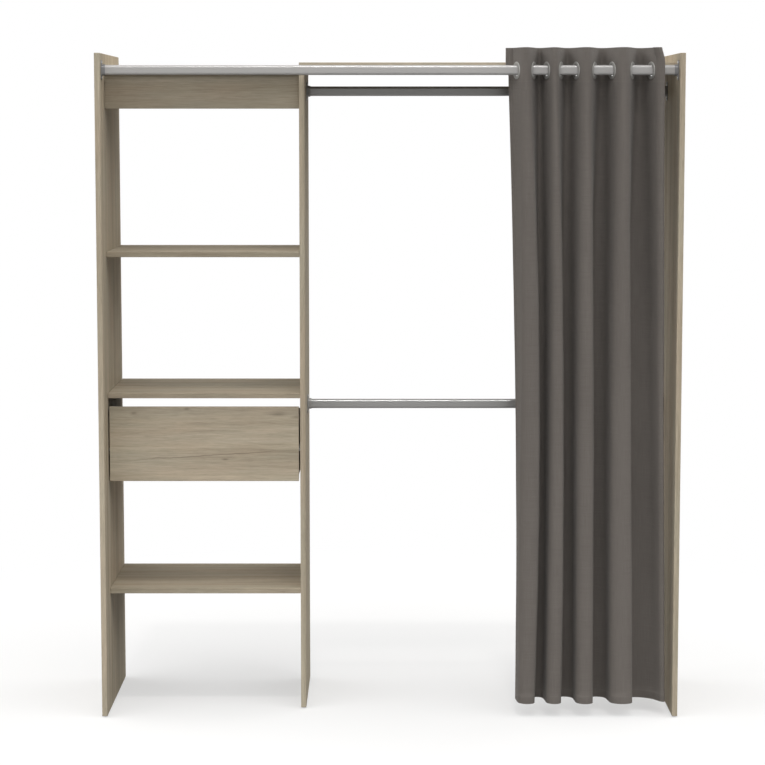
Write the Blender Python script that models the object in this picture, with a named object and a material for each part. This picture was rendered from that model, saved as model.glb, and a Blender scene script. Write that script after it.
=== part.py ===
"""Open-front wardrobe: a shelf column with one drawer beside a hanging bay, and an eyelet curtain.

Sizes are metres. X runs along the front from left to right, Y from front to back, Z up.
The origin is on the floor, under the middle of the wardrobe.
"""

import math

import bmesh
import bpy
from mathutils import Matrix, Vector

# Fits
SEAT = 0.0003                   # gap between a piece and the one it is seated on
EASE = 0.0008                   # width of the eased edges of a laminated board

# Carcass
OUTER_WIDTH = 1.771             # over both side panels
BOARD = 0.016                   # thickness of every laminated board
SIDE_DEPTH = 0.538              # side panel, front edge to back edge
SIDE_HEIGHT = 2.026             # side panel, without its glides
FRONT_SETBACK = 0.113           # everything between the side panels starts this far behind their front
TOP_DROP = 0.026                # top board's upper face under the side panels' upper edges
COLUMN_WIDTH = 0.593            # clear width of the shelf column
FASCIA_HEIGHT = 0.107           # board under the column's top shelf
FASCIA_SETBACK = 0.015          # fascia behind the front edge of the shelf above it
UPPER_SHELF_TOP = 1.428         # upper faces of the three shelves, from the floor
MIDDLE_SHELF_TOP = 0.993
LOWER_SHELF_TOP = 0.382

# Floor glides
GLIDE_HEIGHT = 0.004
GLIDE_RADIUS = 0.007
GLIDE_CHAMFER = 0.0008
GLIDE_INSET = 0.030             # glide centre to the panel's front or back edge
NAIL_RADIUS = 0.0014
NAIL_LENGTH = 0.013

# Drawer
DRAWER_BASE = 0.719             # lower edge of the drawer front, from the floor
DRAWER_FRONT_HEIGHT = 0.231
DRAWER_FRONT_GAP = 0.0043       # beside the drawer front, at each end
DRAWER_DEPTH = 0.385            # drawer sides, front to back
DRAWER_BOARD = 0.012            # thickness of the drawer's sides and back
DRAWER_SIDE_HEIGHT = 0.170
DRAWER_SIDE_LIFT = 0.011        # drawer sides' lower edge over the front's lower edge
DRAWER_BACK_DROP = 0.010        # drawer back's upper edge under the sides' upper edges
DRAWER_CLEARANCE = 0.006        # between a drawer side and the panel beside it
BOTTOM_THICKNESS = 0.003
BOTTOM_GROOVE_DEPTH = 0.005
BOTTOM_GROOVE_LIFT = 0.010      # groove for the drawer bottom over the sides' lower edges
RUNNER_HEIGHT = 0.0096
RUNNER_LENGTH = 0.350
RUNNER_SETBACK = 0.022          # runner's front end behind the column's front
RUNNER_GROOVE_DEPTH = 0.006

# Oval tubes and their sockets
TUBE_HEIGHT = 0.030
TUBE_WIDTH = 0.015
TUBE_WALL = 0.0012
CURTAIN_RAIL_SETBACK = 0.042    # curtain rail's middle behind the side panels' front edges
CURTAIN_RAIL_DROP = 0.0506      # curtain rail's middle under the side panels' upper edges
UPPER_BAR_DROP = 0.0685         # upper clothes bar's middle under the top board
LOWER_BAR_HEIGHT = 0.936        # lower clothes bar's middle, from the floor
SOCKET_PLATE = 0.0025           # thickness of the socket's base plate
SOCKET_REACH = 0.0125           # socket's rim, from the panel
SOCKET_WALL = 0.0016
SOCKET_FIT = 0.0004             # between the tube's end and the cup round it
SOCKET_PLATE_HEIGHT = 0.060
SOCKET_SCREW_SPACING = 0.046
SOCKET_SCREW_RADIUS = 0.0022

# Eyelets and curtain
HEM_LIFT = 0.0439               # curtain's hem over the floor
HEADING = 0.067                 # curtain's upper edge over the middle of the rail
CLOTH = 0.0016
EYELET_BORE = 0.0165
EYELET_FLANGE = 0.0265          # outer radius of the two clamped halves
EYELET_NECK = 0.0205            # radius of the groove that the cloth sits in
EYELET_CROWN = 0.0032           # half thickness where the flange is highest
TRAILING_EYELET_INSET = 0.0511  # last eyelet to the right side panel, measured along the rail
# Distances from each eyelet to the next, and from each fold's crossing to the next lower down
EYELET_GAPS = (0.050, 0.040, 0.042, 0.047, 0.054, 0.054, 0.060, 0.058, 0.031)
MIDDLE_GAPS = (0.0555, 0.0320, 0.0407, 0.0438, 0.0470, 0.0550, 0.0595, 0.0785, 0.0245)
HEM_GAPS = (0.0480, 0.0385, 0.0436, 0.0489, 0.0492, 0.0548, 0.0683, 0.0807, 0.0205)
MIDDLE_SHIFT = 0.0126           # the first crossing at half height and at the hem, past the first eyelet
HEM_SHIFT = 0.0116
# Degrees between the cloth and the rail at each crossing; a fold overhangs where it is past 90
EYELET_ANGLES = (70, 70, 70, 70, 70, 70, 70, 70, 70, 100)
MIDDLE_ANGLES = (78, 100, 76, 100, 76, 100, 76, 100, 66, 98)
HEM_ANGLES = (84, 96, 82, 96, 82, 96, 80, 96, 62, 96)
# Half of the flat stretch at each crossing; an eyelet needs all of the first
EYELET_FLATS = (0.0275, 0.0275, 0.0275, 0.0275, 0.0275, 0.0275, 0.0275, 0.0275, 0.0275, 0.0275)
MIDDLE_FLATS = (0.021, 0.021, 0.021, 0.021, 0.021, 0.021, 0.021, 0.021, 0.018, 0.018)
HEM_FLATS = (0.026, 0.026, 0.026, 0.026, 0.026, 0.026, 0.026, 0.026, 0.023, 0.019)
# How far the bends reach out, as a share of the distance between the flat stretches
EYELET_FULLNESS = 0.46
MIDDLE_FULLNESS = 0.40
HEM_FULLNESS = 0.30
TAIL_RADIUS = 0.012             # bend at each side edge of the cloth
# Turn and straight length past the first crossing and past the last one
EYELET_TAILS = ((math.radians(60), 0.005), (math.radians(-10), 0.004))
MIDDLE_TAILS = ((math.radians(20), 0.006), (math.radians(-10), 0.004))
HEM_TAILS = ((math.radians(-30), 0.006), (math.radians(10), 0.004))
FLAT_HEADING = 0.034            # the heading stays flat to here under the middle of the rail
# Heights of the cloth's rows under its flat heading, as shares of the length down to the hem
ROW_SHARES = (0.0, 0.07, 0.25, 0.5, 0.75, 1.0)
BEND_STEPS = 5
TAIL_STEPS = 3

# Facets
TUBE_STEPS = 8                  # along each round edge of an oval
RING_STEPS = 20
PIN_STEPS = 10

# Derived places
FRONT = -SIDE_DEPTH / 2
BACK = SIDE_DEPTH / 2
INNER_FRONT = FRONT + FRONT_SETBACK
LEFT_FACE = -OUTER_WIDTH / 2 + BOARD
RIGHT_FACE = OUTER_WIDTH / 2 - BOARD
COLUMN_FACE = LEFT_FACE + COLUMN_WIDTH
BAY_FACE = COLUMN_FACE + BOARD
SIDE_TOP = GLIDE_HEIGHT + SIDE_HEIGHT
TOP_BOARD_TOP = SIDE_TOP - TOP_DROP
MIDDLE_TOP = TOP_BOARD_TOP - BOARD
RAIL_Y = FRONT + CURTAIN_RAIL_SETBACK
CURTAIN_RAIL_HEIGHT = SIDE_TOP - CURTAIN_RAIL_DROP
BAR_Y = (INNER_FRONT + BACK) / 2
UPPER_BAR_HEIGHT = MIDDLE_TOP - UPPER_BAR_DROP
EYELET_DROP = EYELET_BORE - TUBE_HEIGHT / 2 - SEAT
CURTAIN_TOP = CURTAIN_RAIL_HEIGHT + HEADING
FIRST_EYELET = RIGHT_FACE - TRAILING_EYELET_INSET - sum(EYELET_GAPS)

# Looks: colour, roughness, metallic
LOOKS = {
    "oak_laminate": ((0.36, 0.30, 0.23), 0.55, 0.0),
    "grey_tube": ((0.62, 0.62, 0.61), 0.32, 0.9),
    "socket_metal": ((0.40, 0.40, 0.41), 0.40, 0.8),
    "eyelet_metal": ((0.55, 0.55, 0.54), 0.35, 0.9),
    "taupe_cloth": ((0.12, 0.11, 0.10), 0.85, 0.0),
    "white_plastic": ((0.80, 0.80, 0.78), 0.45, 0.0),
    "grey_plastic": ((0.16, 0.15, 0.17), 0.50, 0.0),
    "hardboard": ((0.45, 0.38, 0.30), 0.60, 0.0),
}


def clear_scene():
    """Remove what the scene holds."""
    for item in list(bpy.data.objects):
        bpy.data.objects.remove(item, do_unlink=True)


def look(name):
    """The material of this name, made once."""
    known = bpy.data.materials.get(name)
    if known:
        return known
    colour, roughness, metallic = LOOKS[name]
    material = bpy.data.materials.new(name)
    material.use_nodes = True
    shader = material.node_tree.nodes["Principled BSDF"]
    shader.inputs["Base Color"].default_value = (*colour, 1.0)
    shader.inputs["Roughness"].default_value = roughness
    shader.inputs["Metallic"].default_value = metallic
    material.diffuse_color = (*colour, 1.0)
    return material


def place(name, mesh, material, location=(0, 0, 0), turn=0.0, parent=None):
    """An object with this mesh, its place and its turn about the vertical."""
    item = bpy.data.objects.new(name, mesh)
    bpy.context.scene.collection.objects.link(item)
    if not mesh.materials:
        mesh.materials.append(look(material))
    item.location = location
    item.rotation_euler = (0, 0, turn)
    item.parent = parent
    return item


def finish(shape, name):
    """Close a bmesh into a mesh with its faces pointing out."""
    bmesh.ops.recalc_face_normals(shape, faces=shape.faces)
    mesh = bpy.data.meshes.new(name)
    shape.to_mesh(mesh)
    shape.free()
    return mesh


def smooth(mesh, angle=35):
    """Shade a round piece smooth up to this angle between faces."""
    mesh.shade_smooth()
    mesh.set_sharp_from_angle(angle=math.radians(angle))


def box_mesh(size, name):
    """A box round its own middle."""
    shape = bmesh.new()
    bmesh.ops.create_cube(shape, size=1.0)
    bmesh.ops.scale(shape, vec=Vector(size), verts=shape.verts)
    return finish(shape, name)


def prism_mesh(outline, length, name):
    """An outline in the XY plane, extruded up along Z from zero."""
    shape = bmesh.new()
    base = shape.faces.new([shape.verts.new((x, y, 0)) for x, y in outline])
    grown = bmesh.ops.extrude_face_region(shape, geom=[base])
    raised = [part for part in grown["geom"] if isinstance(part, bmesh.types.BMVert)]
    bmesh.ops.translate(shape, vec=(0, 0, length), verts=raised)
    return finish(shape, name)


def lathe_mesh(profile, steps, name):
    """A closed profile of (radius, height) points, turned about Z."""
    shape = bmesh.new()
    ring = [shape.verts.new((radius, 0, height)) for radius, height in profile]
    edges = [shape.edges.new((ring[i - 1], ring[i])) for i in range(len(ring))]
    bmesh.ops.spin(shape, geom=ring + edges, cent=(0, 0, 0), axis=(0, 0, 1),
                   angle=math.tau, steps=steps, use_merge=True)
    bmesh.ops.remove_doubles(shape, verts=shape.verts, dist=1e-6)
    return finish(shape, name)


def cylinder_mesh(radius, low, high, steps, name):
    """A cylinder about Z between two heights."""
    outline = [(radius * math.cos(math.tau * i / steps), radius * math.sin(math.tau * i / steps))
               for i in range(steps)]
    mesh = prism_mesh(outline, high - low, name)
    mesh.transform(Matrix.Translation((0, 0, low)))
    return mesh


def oval(height, width):
    """Outline of an upright oval tube: two half circles joined by flat sides."""
    radius = width / 2
    straight = height / 2 - radius
    points = []
    for centre, start in ((straight, 0.0), (-straight, math.pi)):
        for i in range(TUBE_STEPS + 1):
            angle = start + math.pi * i / TUBE_STEPS
            points.append((radius * math.cos(angle), centre + radius * math.sin(angle)))
    return points


def ease_edges(item):
    """Give a board the eased edges of its laminate."""
    bevel = item.modifiers.new("eased edges", "BEVEL")
    bevel.width = EASE
    bevel.segments = 1
    bevel.limit_method = "ANGLE"
    return item


def cut(item, mesh, name, location=(0, 0, 0), turn=0.0):
    """Cut a mesh out of a piece; the cutter stays as a wire guide."""
    cutter = bpy.data.objects.new(name, mesh)
    bpy.context.scene.collection.objects.link(cutter)
    cutter.location = location
    cutter.rotation_euler = (0, 0, turn)
    cutter.display_type = "WIRE"
    cutter.hide_render = True
    boolean = item.modifiers.new(name, "BOOLEAN")
    boolean.operation = "DIFFERENCE"
    boolean.solver = "EXACT"
    boolean.object = cutter
    return cutter


def board(name, low, high, material="oak_laminate", parent=None):
    """A laminated board between two corners, in world places."""
    low = Vector(low)
    high = Vector(high)
    mesh = box_mesh(high - low, name)
    item = place(name, mesh, material, (low + high) / 2, parent=None)
    if parent:
        item.parent = parent
        item.location = (low + high) / 2 - parent.location
    return ease_edges(item)


def glide_places(panel_front):
    """Places along Y of a panel's two glides."""
    return (panel_front + GLIDE_INSET, BACK - GLIDE_INSET)


def make_panels():
    """Two tall side panels and the middle panel, bored underneath for the glides' nails."""
    half = BOARD / 2
    bore = cylinder_mesh(NAIL_RADIUS + SEAT, -NAIL_LENGTH, NAIL_LENGTH + SEAT, PIN_STEPS, "nail_bore")
    panels = (
        ("side_panel_left", LEFT_FACE - half, FRONT, SIDE_TOP),
        ("middle_panel", COLUMN_FACE + half, INNER_FRONT, MIDDLE_TOP - SEAT),
        ("side_panel_right", RIGHT_FACE + half, FRONT, SIDE_TOP),
    )
    for name, middle, front, top in panels:
        panel = board(name, (middle - half, front, GLIDE_HEIGHT), (middle + half, BACK, top))
        for end, along in zip(("front", "back"), glide_places(front)):
            cut(panel, bore, f"{name}_bore_{end}", (middle, along, GLIDE_HEIGHT))
            make_glide(f"glide_{name.replace('_panel', '')}_{end}", middle, along)


def make_glide(name, across, along):
    """A nail-in floor glide: a chamfered disc with its nail."""
    mesh = bpy.data.meshes.get("glide")
    if not mesh:
        top = GLIDE_HEIGHT - SEAT
        profile = [
            (0, 0),
            (GLIDE_RADIUS - GLIDE_CHAMFER, 0),
            (GLIDE_RADIUS, GLIDE_CHAMFER),
            (GLIDE_RADIUS, top),
            (NAIL_RADIUS, top),
            (NAIL_RADIUS, top + NAIL_LENGTH - NAIL_RADIUS),
            (0, top + NAIL_LENGTH),
        ]
        shape = bmesh.new()
        chain = [shape.verts.new((radius, 0, height)) for radius, height in profile]
        edges = [shape.edges.new(pair) for pair in zip(chain, chain[1:])]
        bmesh.ops.spin(shape, geom=chain + edges, cent=(0, 0, 0), axis=(0, 0, 1),
                       angle=math.tau, steps=PIN_STEPS * 2, use_merge=True)
        bmesh.ops.remove_doubles(shape, verts=shape.verts, dist=1e-6)
        mesh = finish(shape, "glide")
        smooth(mesh)
    place(name, mesh, "grey_plastic", (across, along, 0))


def make_shelves():
    """The boards of the column, its fascia, and the top board over the hanging bay."""
    left = LEFT_FACE + SEAT
    right = COLUMN_FACE - SEAT
    tops = (
        ("column_top_shelf", MIDDLE_TOP - SEAT),
        ("shelf_upper", UPPER_SHELF_TOP),
        ("shelf_middle", MIDDLE_SHELF_TOP),
        ("shelf_lower", LOWER_SHELF_TOP),
    )
    for name, top in tops:
        board(name, (left, INNER_FRONT, top - BOARD), (right, BACK, top))
    under = MIDDLE_TOP - SEAT - BOARD - SEAT
    fascia_front = INNER_FRONT + FASCIA_SETBACK
    board("column_fascia", (left, fascia_front, under - FASCIA_HEIGHT), (right, fascia_front + BOARD, under))
    board("top_board", (COLUMN_FACE, INNER_FRONT, MIDDLE_TOP), (RIGHT_FACE - SEAT, BACK, TOP_BOARD_TOP))


def grooved_side_mesh(name):
    """A left drawer side: runner groove outside, bottom groove inside, extruded front to back."""
    runner_groove = RUNNER_HEIGHT + 2 * SEAT
    bottom_groove = BOTTOM_THICKNESS + 2 * SEAT
    middle = DRAWER_SIDE_HEIGHT / 2
    inner = DRAWER_BOARD - BOTTOM_GROOVE_DEPTH
    outline = [
        (0, 0),
        (DRAWER_BOARD, 0),
        (DRAWER_BOARD, BOTTOM_GROOVE_LIFT),
        (inner, BOTTOM_GROOVE_LIFT),
        (inner, BOTTOM_GROOVE_LIFT + bottom_groove),
        (DRAWER_BOARD, BOTTOM_GROOVE_LIFT + bottom_groove),
        (DRAWER_BOARD, DRAWER_SIDE_HEIGHT),
        (0, DRAWER_SIDE_HEIGHT),
        (0, middle + runner_groove / 2),
        (RUNNER_GROOVE_DEPTH, middle + runner_groove / 2),
        (RUNNER_GROOVE_DEPTH, middle - runner_groove / 2),
        (0, middle - runner_groove / 2),
    ]
    mesh = prism_mesh(outline, DRAWER_DEPTH, name)
    # The outline's height turns up and its length turns to the back
    mesh.transform(Matrix(((1, 0, 0, 0), (0, 0, 1, 0), (0, 1, 0, 0), (0, 0, 0, 1))))
    mesh.flip_normals()
    return mesh


def make_drawer():
    """The drawer: a front board, two grooved sides, a back and a thin bottom."""
    slide = bpy.data.objects.new("drawer_slide", None)
    bpy.context.scene.collection.objects.link(slide)
    side_base = DRAWER_BASE + DRAWER_SIDE_LIFT
    slide.location = ((LEFT_FACE + COLUMN_FACE) / 2, INNER_FRONT, side_base + DRAWER_SIDE_HEIGHT / 2)

    board("drawer_front",
          (LEFT_FACE + DRAWER_FRONT_GAP, INNER_FRONT, DRAWER_BASE),
          (COLUMN_FACE - DRAWER_FRONT_GAP, INNER_FRONT + BOARD, DRAWER_BASE + DRAWER_FRONT_HEIGHT),
          parent=slide)
    side_front = INNER_FRONT + BOARD + SEAT
    side_back = side_front + DRAWER_DEPTH
    outer_left = LEFT_FACE + DRAWER_CLEARANCE
    outer_right = COLUMN_FACE - DRAWER_CLEARANCE
    mesh = grooved_side_mesh("drawer_side")
    left = place("drawer_side_left", mesh, "oak_laminate", parent=slide)
    left.location = Vector((outer_left, side_front, side_base)) - slide.location
    mirrored = mesh.copy()
    mirrored.transform(Matrix.Scale(-1, 4, (1, 0, 0)))
    mirrored.flip_normals()
    right = place("drawer_side_right", mirrored, "oak_laminate", parent=slide)
    right.location = Vector((outer_right, side_front, side_base)) - slide.location

    inner_left = outer_left + DRAWER_BOARD
    inner_right = outer_right - DRAWER_BOARD
    back_top = side_base + DRAWER_SIDE_HEIGHT - DRAWER_BACK_DROP
    back_board = board("drawer_back",
                       (inner_left + SEAT, side_back - DRAWER_BOARD, side_base),
                       (inner_right - SEAT, side_back, back_top), parent=slide)

    groove = BOTTOM_GROOVE_DEPTH - SEAT
    bottom_low = side_base + BOTTOM_GROOVE_LIFT + SEAT
    bottom_front = INNER_FRONT + BOARD - groove
    bottom_back = side_back - DRAWER_BOARD + groove
    sheet = box_mesh((inner_right - inner_left + 2 * groove, bottom_back - bottom_front, BOTTOM_THICKNESS),
                     "drawer_bottom")
    middle = Vector(((inner_left + inner_right) / 2, (bottom_front + bottom_back) / 2,
                     bottom_low + BOTTOM_THICKNESS / 2))
    bottom = place("drawer_bottom", sheet, "hardboard", parent=slide)
    bottom.location = middle - slide.location

    slot = box_mesh((inner_right - inner_left + 2 * BOTTOM_GROOVE_DEPTH, 2 * BOTTOM_GROOVE_DEPTH,
                     BOTTOM_THICKNESS + 2 * SEAT), "bottom_slot")
    cut(bpy.data.objects["drawer_front"], slot, "drawer_front_slot",
        (middle.x, INNER_FRONT + BOARD, middle.z))
    cut(back_board, slot, "drawer_back_slot", (middle.x, side_back - DRAWER_BOARD, middle.z))


def make_runners():
    """Plastic strips on the column's inner faces, in the grooves of the drawer sides."""
    depth = DRAWER_CLEARANCE + RUNNER_GROOVE_DEPTH - 2 * SEAT
    height = DRAWER_BASE + DRAWER_SIDE_LIFT + DRAWER_SIDE_HEIGHT / 2
    middle = INNER_FRONT + RUNNER_SETBACK + RUNNER_LENGTH / 2
    for name, face, side in (("left", LEFT_FACE, 1), ("right", COLUMN_FACE, -1)):
        strip = place(f"drawer_runner_{name}", box_mesh((depth, RUNNER_LENGTH, RUNNER_HEIGHT), "runner"),
                      "white_plastic", (face + side * (SEAT + depth / 2), middle, height))
        rounding = strip.modifiers.new("rounded strip", "BEVEL")
        rounding.width = RUNNER_HEIGHT / 6
        rounding.segments = 2


def tube(name, left, right, along, height):
    """A hollow oval tube between two places along X."""
    mesh = prism_mesh(oval(TUBE_HEIGHT, TUBE_WIDTH), right - left, name)
    lie_along_x = Matrix(((0, 0, 1, 0), (1, 0, 0, 0), (0, 1, 0, 0), (0, 0, 0, 1)))
    mesh.transform(lie_along_x)
    smooth(mesh)
    item = place(name, mesh, "grey_tube", (left, along, height))
    core = prism_mesh(oval(TUBE_HEIGHT - 2 * TUBE_WALL, TUBE_WIDTH - 2 * TUBE_WALL), right - left + 0.02, "core")
    core.transform(Matrix.Translation((-0.01, 0, 0)) @ lie_along_x)
    cut(item, core, f"{name}_core", item.location)
    return item


def socket_mesh():
    """A tube socket on its base plate, standing on the plane x = 0 and reaching to +X."""
    cup_height = TUBE_HEIGHT + 2 * (SOCKET_FIT + SOCKET_WALL)
    cup_width = TUBE_WIDTH + 2 * (SOCKET_FIT + SOCKET_WALL)
    lie_along_x = Matrix(((0, 0, 1, 0), (1, 0, 0, 0), (0, 1, 0, 0), (0, 0, 0, 1)))
    pieces = []
    for outline, low, high in (
        (oval(SOCKET_PLATE_HEIGHT, cup_width), 0.0, SOCKET_PLATE),
        (oval(cup_height, cup_width - 2 * SEAT), SOCKET_PLATE / 2, SOCKET_REACH),
        (oval(TUBE_HEIGHT + 2 * SOCKET_FIT, TUBE_WIDTH + 2 * SOCKET_FIT), SOCKET_PLATE, 2 * SOCKET_REACH),
    ):
        mesh = prism_mesh(outline, high - low, "socket_part")
        mesh.transform(lie_along_x @ Matrix.Translation((0, 0, low)))
        pieces.append(place("socket_part", mesh, "socket_metal"))
    plate, cup, hollow = pieces
    join = plate.modifiers.new("cup", "BOOLEAN")
    join.operation = "UNION"
    join.object = cup
    carve = plate.modifiers.new("hollow", "BOOLEAN")
    carve.operation = "DIFFERENCE"
    carve.object = hollow
    screw = cylinder_mesh(SOCKET_SCREW_RADIUS, -SOCKET_PLATE, 2 * SOCKET_PLATE, PIN_STEPS, "screw_bore")
    screw.transform(lie_along_x)
    for side in (-1, 1):
        bore = place("socket_part", screw, "socket_metal", (0, 0, side * SOCKET_SCREW_SPACING / 2))
        drill = plate.modifiers.new("screw hole", "BOOLEAN")
        drill.operation = "DIFFERENCE"
        drill.object = bore
        pieces.append(bore)
    bpy.context.view_layer.update()
    mesh = bpy.data.meshes.new_from_object(plate.evaluated_get(bpy.context.evaluated_depsgraph_get()))
    mesh.name = "socket"
    for piece in pieces:
        bpy.data.objects.remove(piece, do_unlink=True)
    smooth(mesh)
    return mesh


def make_rails():
    """The curtain rail, two clothes bars, and a socket at each end of all three."""
    mesh = socket_mesh()
    rows = (
        ("curtain_rail", LEFT_FACE, RAIL_Y, CURTAIN_RAIL_HEIGHT),
        ("clothes_bar_upper", BAY_FACE, BAR_Y, UPPER_BAR_HEIGHT),
        ("clothes_bar_lower", BAY_FACE, BAR_Y, LOWER_BAR_HEIGHT),
    )
    end = SEAT + SOCKET_PLATE + SEAT
    for name, face, along, height in rows:
        tube(name, face + end, RIGHT_FACE - end, along, height)
        place(f"{name}_socket_left", mesh, "socket_metal", (face + SEAT, along, height))
        place(f"{name}_socket_right", mesh, "socket_metal", (RIGHT_FACE - SEAT, along, height), turn=math.pi)


def eyelet_mesh():
    """A two-part eyelet: a bored disc with a rounded crown on each face and a groove for the cloth."""
    half_groove = CLOTH / 2 + SEAT
    lip = half_groove + 0.0004
    crown = EYELET_BORE + 0.003
    front = [
        (EYELET_BORE, EYELET_CROWN * 0.4),
        (EYELET_BORE + 0.001, EYELET_CROWN * 0.85),
        (crown, EYELET_CROWN),
        (EYELET_FLANGE - 0.003, EYELET_CROWN * 0.9),
        (EYELET_FLANGE, lip),
        (EYELET_FLANGE - 0.0003, half_groove),
        (EYELET_NECK, half_groove),
    ]
    back = [(radius, -height) for radius, height in reversed(front)]
    mesh = lathe_mesh(front + back, RING_STEPS, "eyelet")
    mesh.transform(Matrix.Rotation(math.pi / 2, 4, "Y"))
    smooth(mesh)
    return mesh


def eyelet_places():
    """Places along X of the eyelets, leading one first."""
    places = [FIRST_EYELET]
    for gap in EYELET_GAPS:
        places.append(places[-1] + gap)
    return places


def eyelet_turn(index):
    """Turn of an eyelet's axis: the cloth comes forward at the first, goes back at the next."""
    lean = math.radians(90 - EYELET_ANGLES[index])
    return lean if index % 2 == 0 else -lean


def tail(start, heading, turn, straight):
    """Points of a side edge that leaves the last flat stretch: a short bend, then a straight end."""
    points = []
    place_now = Vector(start)
    step = turn / TAIL_STEPS
    length = abs(TAIL_RADIUS * step)
    angle = heading
    for _ in range(TAIL_STEPS):
        angle += step / 2
        place_now = place_now + length * Vector((math.cos(angle), math.sin(angle)))
        angle += step / 2
        points.append(place_now)
    points.append(place_now + straight * Vector((math.cos(angle), math.sin(angle))))
    return points


def bend(start, way_out, stop, way_in, fullness):
    """Points of a smooth bend that leaves one flat stretch and joins the next."""
    pull = (stop - start).length * fullness
    one = start + way_out * pull
    two = stop - way_in * pull
    points = []
    for i in range(1, BEND_STEPS):
        t = i / BEND_STEPS
        points.append(start * (1 - t) ** 3 + one * 3 * t * (1 - t) ** 2 + two * 3 * t * t * (1 - t) + stop * t ** 3)
    return points


def fold_plan(first, gaps, angles, flats, fullness, tails):
    """The cloth's line seen from above, left to right, as (x, y) from the rail's middle.

    Each crossing of the rail's line has a flat stretch, and a bend joins it to the next, in
    front of the rail and behind it by turns.
    """
    ways = []
    ends = []
    centre = first
    for index, (angle, flat) in enumerate(zip(angles, flats)):
        side = -1 if index % 2 == 0 else 1
        way = Vector((math.cos(math.radians(angle)), side * math.sin(math.radians(angle))))
        ways.append(way)
        ends.append((Vector((centre, 0.0)) - way * flat, Vector((centre, 0.0)) + way * flat))
        if index < len(gaps):
            centre += gaps[index]
    leading, trailing = tails
    points = list(reversed(tail(ends[0][0], math.pi - math.radians(angles[0]), *leading)))
    for index, (start, stop) in enumerate(ends):
        points += [start, stop]
        if index < len(gaps):
            points += bend(stop, ways[index], ends[index + 1][0], ways[index + 1], fullness)
    turn, straight = trailing
    points += tail(points[-1], math.radians(angles[-1]), -turn, straight)
    return points


def between(top, middle, low, share):
    """A point on the smooth line that runs down a fold through its three plans."""
    upper = 2 * share * share - 3 * share + 1
    lower = 2 * share * share - share
    return upper * top + (1 - upper - lower) * middle + lower * low


def make_curtain():
    """The hanging cloth with its folds, bored for the eyelets' necks, and the eyelets on the rail."""
    heading = fold_plan(FIRST_EYELET, EYELET_GAPS, EYELET_ANGLES, EYELET_FLATS, EYELET_FULLNESS, EYELET_TAILS)
    middle = fold_plan(FIRST_EYELET + MIDDLE_SHIFT, MIDDLE_GAPS, MIDDLE_ANGLES, MIDDLE_FLATS, MIDDLE_FULLNESS,
                       MIDDLE_TAILS)
    hem = fold_plan(FIRST_EYELET + HEM_SHIFT, HEM_GAPS, HEM_ANGLES, HEM_FLATS, HEM_FULLNESS, HEM_TAILS)
    flat_low = CURTAIN_RAIL_HEIGHT - FLAT_HEADING
    rows = [(CURTAIN_TOP, 0.0)]
    for share in ROW_SHARES:
        rows.append((flat_low + (HEM_LIFT - flat_low) * share, share))
    shape = bmesh.new()
    grid = []
    for height, share in rows:
        line = [between(*points, share) for points in zip(heading, middle, hem)]
        grid.append([shape.verts.new((x, RAIL_Y + y, height)) for x, y in line])
    for upper, lower in zip(grid, grid[1:]):
        for i in range(len(upper) - 1):
            shape.faces.new((upper[i], lower[i], lower[i + 1], upper[i + 1]))
    cloth = place("curtain", finish(shape, "curtain"), "taupe_cloth")
    smooth(cloth.data, 60)
    thick = cloth.modifiers.new("cloth thickness", "SOLIDIFY")
    thick.thickness = CLOTH
    thick.offset = 0.0
    thick.use_even_offset = True

    ring = eyelet_mesh()
    bore = cylinder_mesh(EYELET_NECK + SEAT, -EYELET_CROWN, EYELET_CROWN, RING_STEPS, "eyelet_bore")
    bore.transform(Matrix.Rotation(math.pi / 2, 4, "Y"))
    height = CURTAIN_RAIL_HEIGHT - EYELET_DROP
    for index, along in enumerate(eyelet_places()):
        name = f"eyelet_{index + 1:02d}"
        where = (along, RAIL_Y, height)
        place(name, ring, "eyelet_metal", where, eyelet_turn(index))
        cut(cloth, bore, f"{name}_bore", where, eyelet_turn(index))


def build():
    """Build the whole wardrobe."""
    clear_scene()
    make_panels()
    make_shelves()
    make_drawer()
    make_runners()
    make_rails()
    make_curtain()


build()
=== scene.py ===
# %% [markdown]
# # An open wardrobe and its curtain
#
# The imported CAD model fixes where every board, tube and eyelet of the wardrobe is. This lesson
# dresses it. It sets a camera at the photograph's viewing angle, lights the wardrobe like a
# studio, makes the finishes out of shader nodes, and models what the solids keep plain: the
# folded curtain, its eyelets and the small fittings.

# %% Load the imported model
import math

import bmesh
import bpy
from mathutils import Matrix, Vector
from mathutils import noise as hand_noise


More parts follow.
